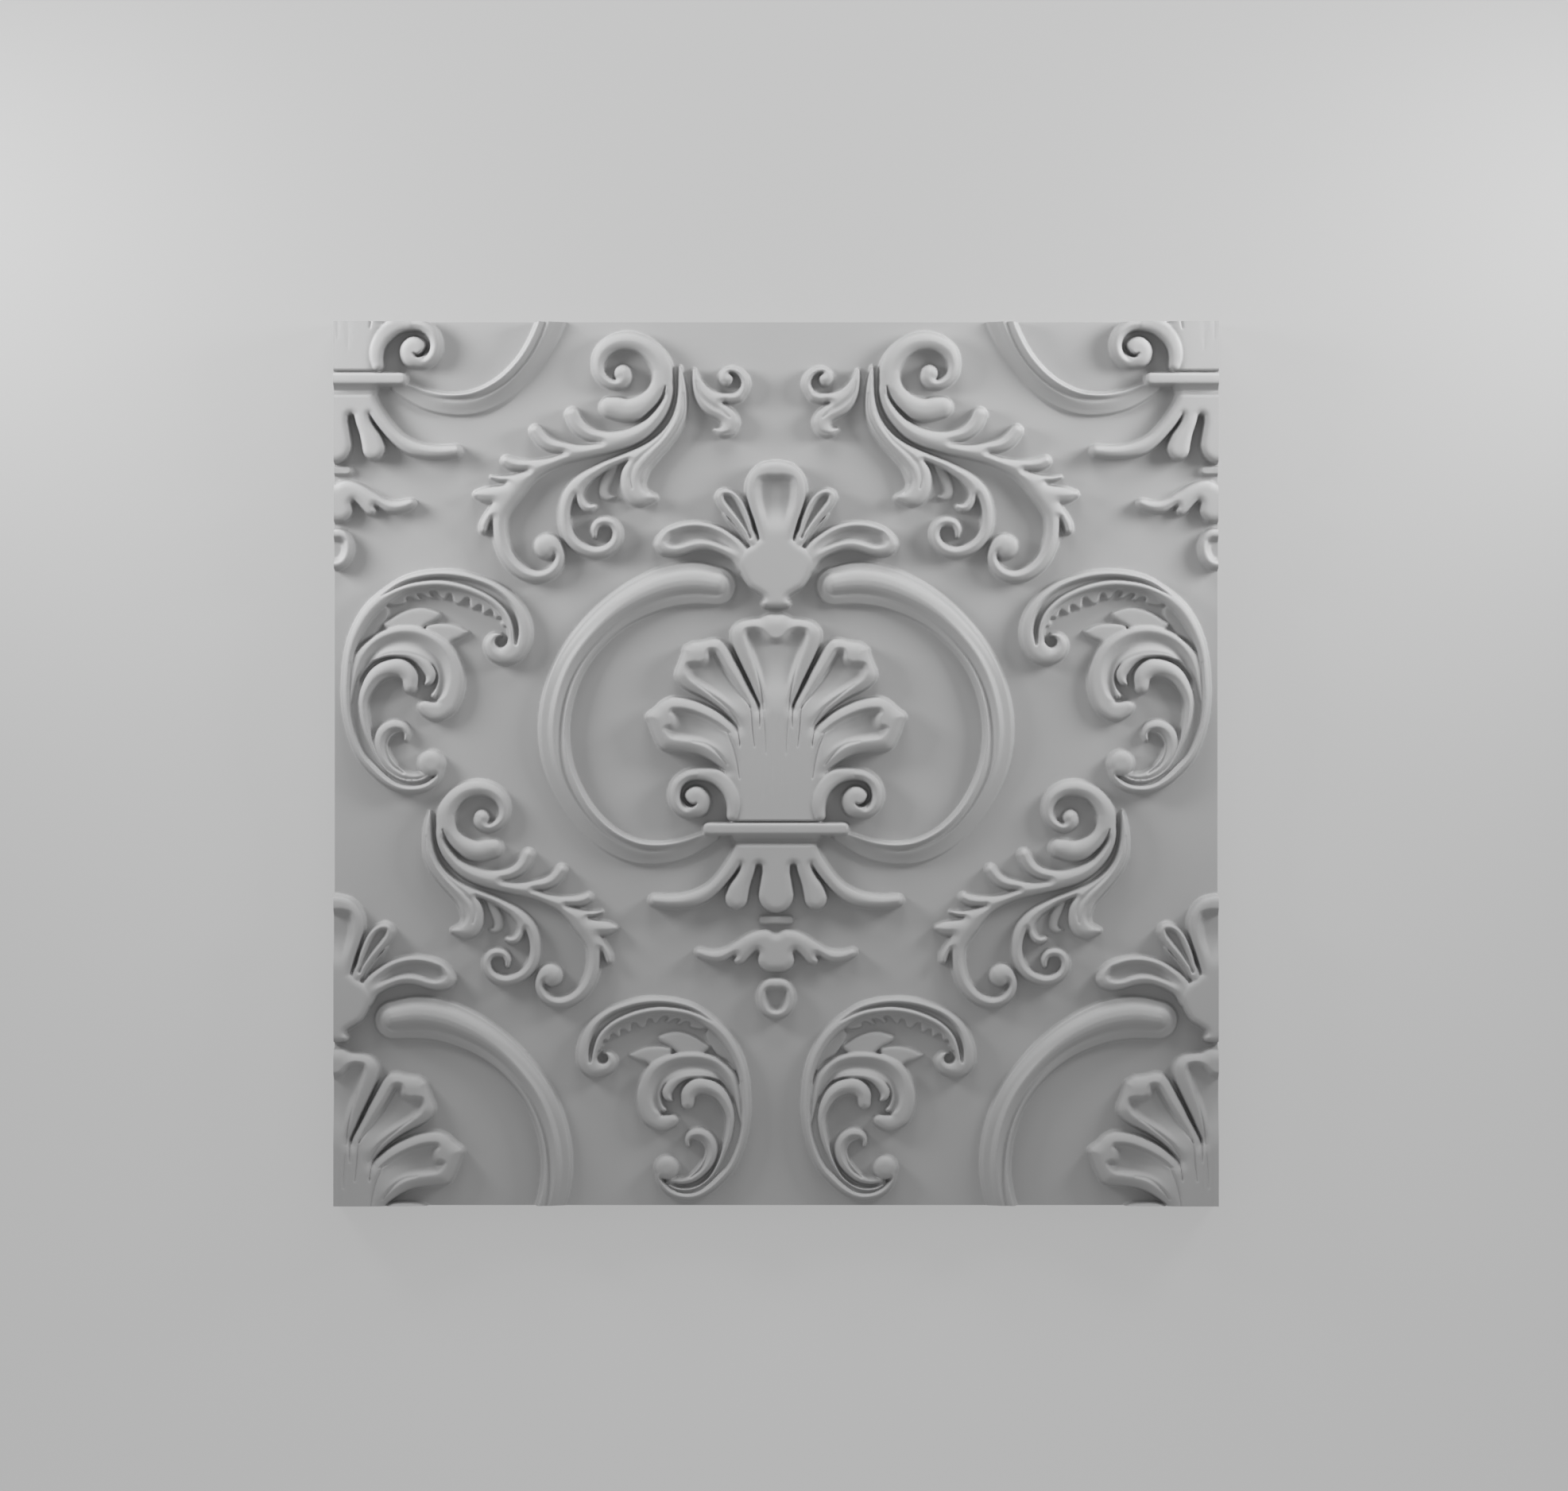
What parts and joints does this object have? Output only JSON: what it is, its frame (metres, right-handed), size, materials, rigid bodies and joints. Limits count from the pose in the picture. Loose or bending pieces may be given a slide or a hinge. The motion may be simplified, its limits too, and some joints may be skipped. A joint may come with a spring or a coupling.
{
  "type": "3d wall panel tile",
  "caption": "Square cast wall tile with a flat back and a symmetrical relief of acanthus scrolls, a ribbed shell in a ring and fan-shaped leaves.",
  "frame": {"origin": "middle of the flat back face, at the level the tile rests on", "axes": "+Z out of the face towards the viewer, +Y towards the tile's upper edge as hung, +X towards its right edge"},
  "size_m": [0.5, 0.5, 0.032],
  "materials": {
    "plaster": "matt cast gypsum plaster, unpainted off-white grey"
  },
  "bodies": {
    "root": {"wall_panel": "plaster"}
  },
  "joints": []
}
